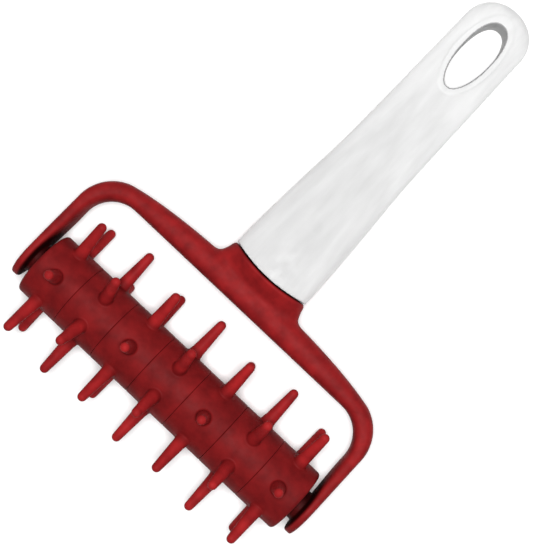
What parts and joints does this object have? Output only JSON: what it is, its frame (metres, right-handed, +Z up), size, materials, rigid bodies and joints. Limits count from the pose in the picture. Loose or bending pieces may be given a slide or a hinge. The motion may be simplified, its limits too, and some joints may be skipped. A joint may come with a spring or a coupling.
{
  "type": "roller dough docker",
  "caption": "Hand roller that pricks dough: staggered pinned wheels turn together on an axle in a U-shaped yoke with a slim handle and an oval hang hole.",
  "frame": {"origin": "middle of the footprint, on the surface that the tool lies on with its pins and the end of its handle", "axes": "+X along the roller's axle, +Y from the roller towards the end of the handle, +Z up"},
  "size_m": [0.1366, 0.2076, 0.0567],
  "materials": {
    "red_plastic": "satin moulded",
    "white_plastic": "satin moulded",
    "axle_steel": "drawn bar"
  },
  "bodies": {
    "frame": {"yoke": "red_plastic", "handle": "white_plastic"},
    "roller": {"axle": "axle_steel", "docker_wheel_1": "red_plastic", "docker_wheel_2": "red_plastic", "docker_wheel_3": "red_plastic", "docker_wheel_4": "red_plastic", "docker_wheel_5": "red_plastic", "docker_wheel_6": "red_plastic", "docker_wheel_7": "red_plastic"}
  },
  "joints": [
    {"name": "roller_spin", "type": "hinge", "parent": "frame", "child": "roller", "pos_m": [0, -0.0755, 0.02836], "axis": [1, 0, 0], "continuous": true}
  ]
}
